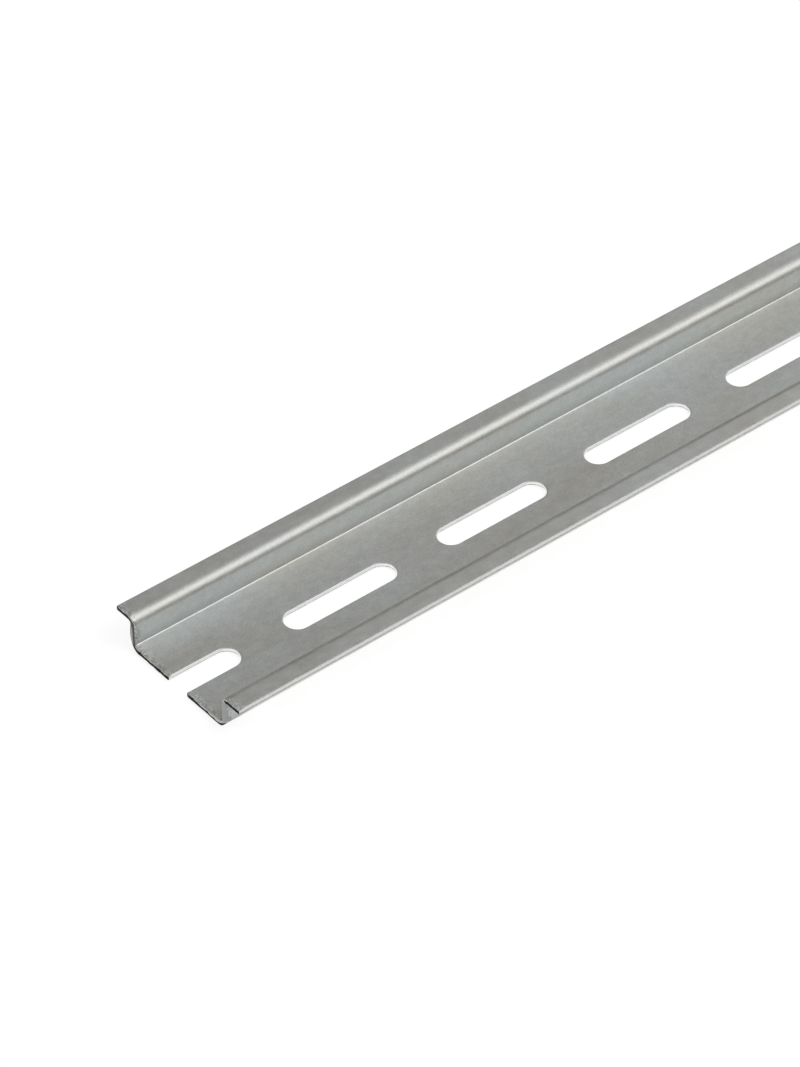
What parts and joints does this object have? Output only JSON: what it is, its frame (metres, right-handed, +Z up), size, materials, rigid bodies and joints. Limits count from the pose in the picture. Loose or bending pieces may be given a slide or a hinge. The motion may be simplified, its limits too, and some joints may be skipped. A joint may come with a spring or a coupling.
{
  "type": "din rail",
  "caption": "Straight top-hat mounting rail of rolled steel strip with a row of long fixing slots, which electrical devices clip on to.",
  "frame": {"origin": "middle of the web's underside, halfway along the rail", "axes": "+X along the rail, away from the end that the picture shows; +Y across it; +Z up out of the open channel"},
  "size_m": [1, 0.035, 0.0075],
  "materials": {
    "zinc_plated_steel": "satin"
  },
  "bodies": {
    "root": {"slotted_rail": "zinc_plated_steel"}
  },
  "joints": []
}
